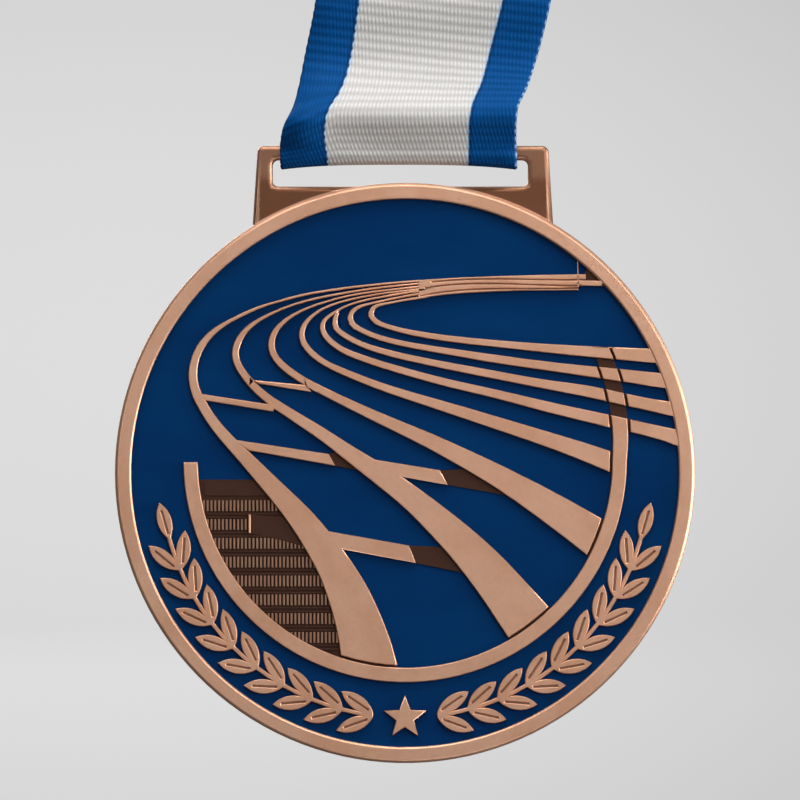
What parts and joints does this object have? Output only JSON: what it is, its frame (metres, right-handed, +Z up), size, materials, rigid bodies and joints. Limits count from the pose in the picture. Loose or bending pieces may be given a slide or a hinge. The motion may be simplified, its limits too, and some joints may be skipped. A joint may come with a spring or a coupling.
{
  "type": "sports finisher medal",
  "caption": "Round die-cast finisher medal with a raised running-track scene in recessed enamel and a laurel border, hanging from a woven neck ribbon folded into a hank.",
  "frame": {"origin": "axis of the rack bar that the folded ribbon hangs on, straight above the middle of the disc", "axes": "+Z up, -Y out of the decorated face towards the viewer, +X to the viewer's right"},
  "size_m": [0.07, 0.0152, 0.1631],
  "materials": {
    "antique_bronze": "satin sandblasted antique copper plating, dark brown in the low parts",
    "blue_enamel": "soft enamel, smooth and glossy",
    "woven_ribbon": "ribbed woven polyester, blue edges and white centre",
    "seam_thread": "twisted polyester thread",
    "elastic_band": "matte knitted elastic"
  },
  "bodies": {
    "hank": {"ribbon_hank": "woven_ribbon", "hank_tie": "elastic_band"},
    "strap": {"ribbon_front_leg": "woven_ribbon", "ribbon_back_leg": "woven_ribbon", "ribbon_bar_wrap": "woven_ribbon", "ribbon_seam_overlap": "woven_ribbon", "seam_stitches": "seam_thread"},
    "medal": {"medal_casting": "antique_bronze", "enamel_sky_and_border": "blue_enamel", "enamel_infield": "blue_enamel", "enamel_lane_1": "blue_enamel", "enamel_lane_2": "blue_enamel", "enamel_lane_3": "blue_enamel", "enamel_lane_4": "blue_enamel", "enamel_lane_5": "blue_enamel", "enamel_lane_6_bend": "blue_enamel", "enamel_lane_6_middle": "blue_enamel", "enamel_lane_6_finish": "blue_enamel", "enamel_lane_7_bend": "blue_enamel", "enamel_lane_7_upper": "blue_enamel", "enamel_lane_7_middle": "blue_enamel", "enamel_lane_7_finish": "blue_enamel", "enamel_finish_cell_1": "blue_enamel", "enamel_finish_cell_2": "blue_enamel", "enamel_finish_cell_3": "blue_enamel"}
  },
  "joints": [
    {"name": "strap_flex", "type": "hinge", "parent": "hank", "child": "strap", "pos_m": [0.00415, 0, -0.0535], "axis": [1, 0, 0], "range_deg": [-60, 60]},
    {"name": "medal_swing", "type": "hinge", "parent": "strap", "child": "medal", "pos_m": [0, 0, -0.08185], "axis": [1, 0, 0], "range_deg": [-100, 100]}
  ]
}
